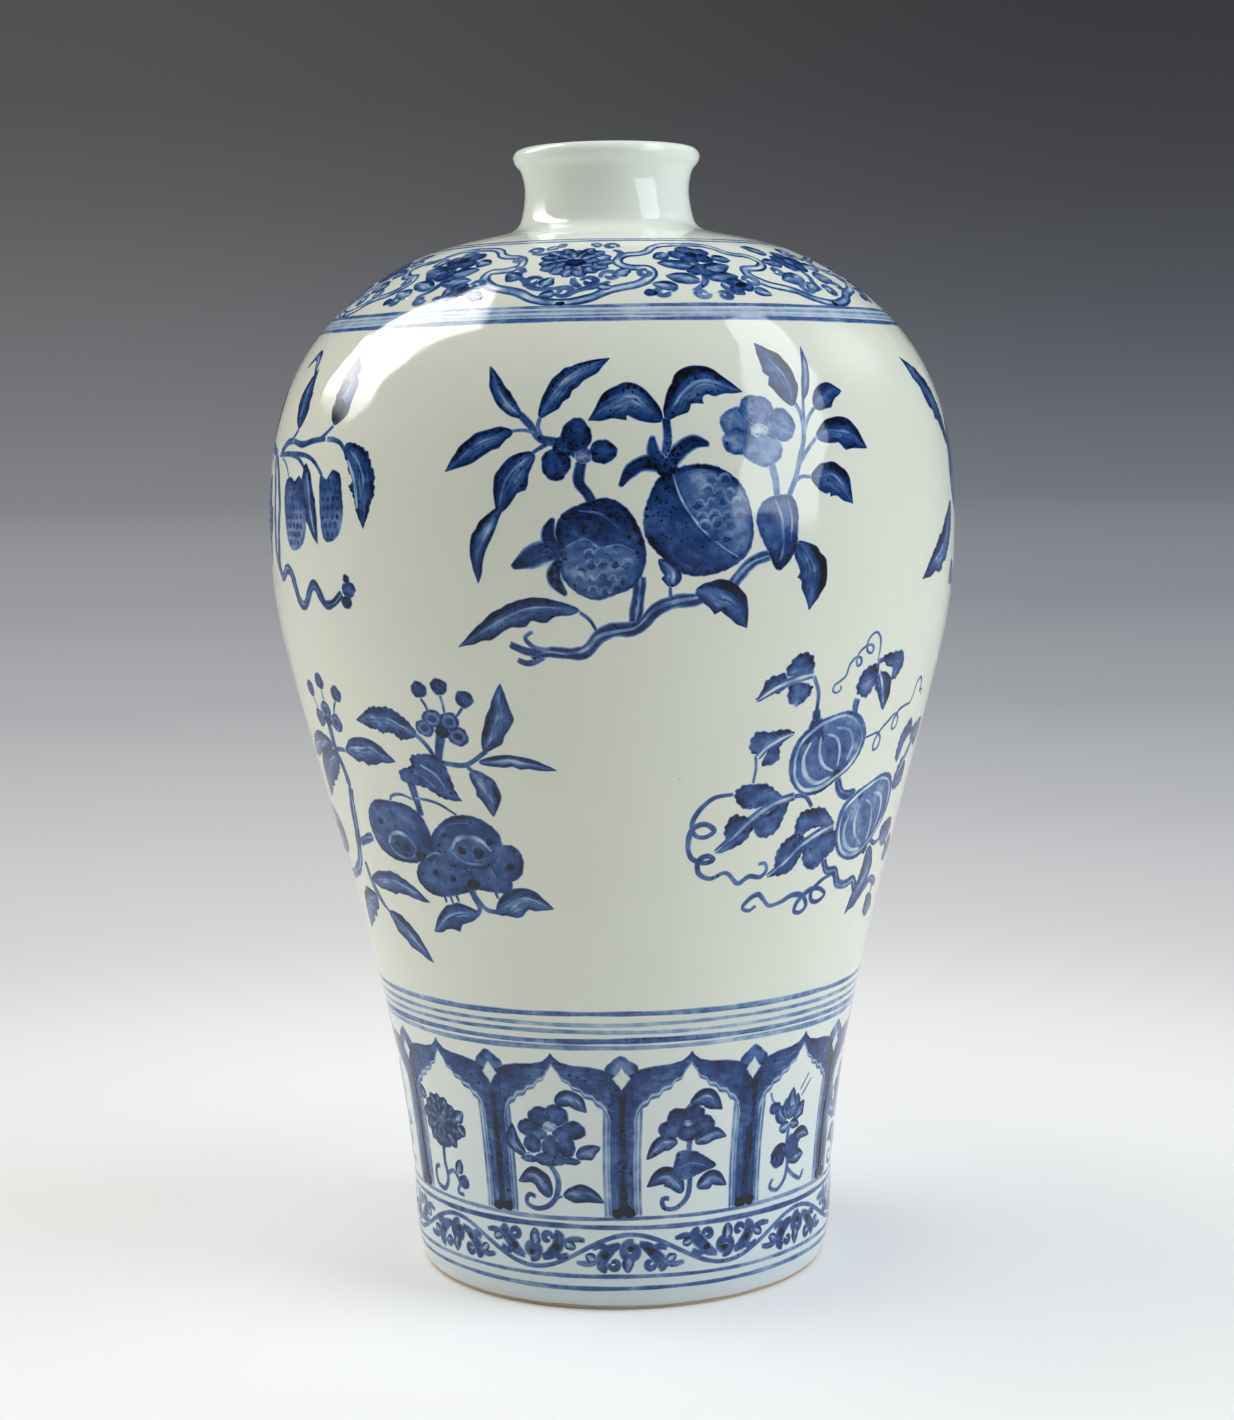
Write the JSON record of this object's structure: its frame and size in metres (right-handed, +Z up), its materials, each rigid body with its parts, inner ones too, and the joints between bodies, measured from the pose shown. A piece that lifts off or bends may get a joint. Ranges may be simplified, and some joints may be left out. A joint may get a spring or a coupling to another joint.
{
  "type": "meiping vase",
  "caption": "Tall porcelain vase with a narrow neck, broad rounded shoulder and tapering body on a foot ring, luted from thrown sections and painted in blue.",
  "frame": {"origin": "centre of the foot ring on the plane it stands on", "axes": "+Z up along the axis of the vase, -Y towards the front of the painted decoration"},
  "size_m": [0.2082, 0.2082, 0.34],
  "materials": {
    "glazed_porcelain": "clear glossy glaze over white porcelain with underglaze blue",
    "biscuit": "bare fired clay, smooth and matt",
    "slip": "fired slip in the joints"
  },
  "bodies": {
    "root": {"foot_ring": "biscuit", "foot_lute": "slip", "base_dish": "glazed_porcelain", "dish_lute": "slip", "lower_belly": "glazed_porcelain", "belly_lute": "slip", "upper_belly": "glazed_porcelain", "shoulder_lute": "slip", "shoulder": "glazed_porcelain", "neck_lute": "slip", "neck": "glazed_porcelain"}
  },
  "joints": []
}
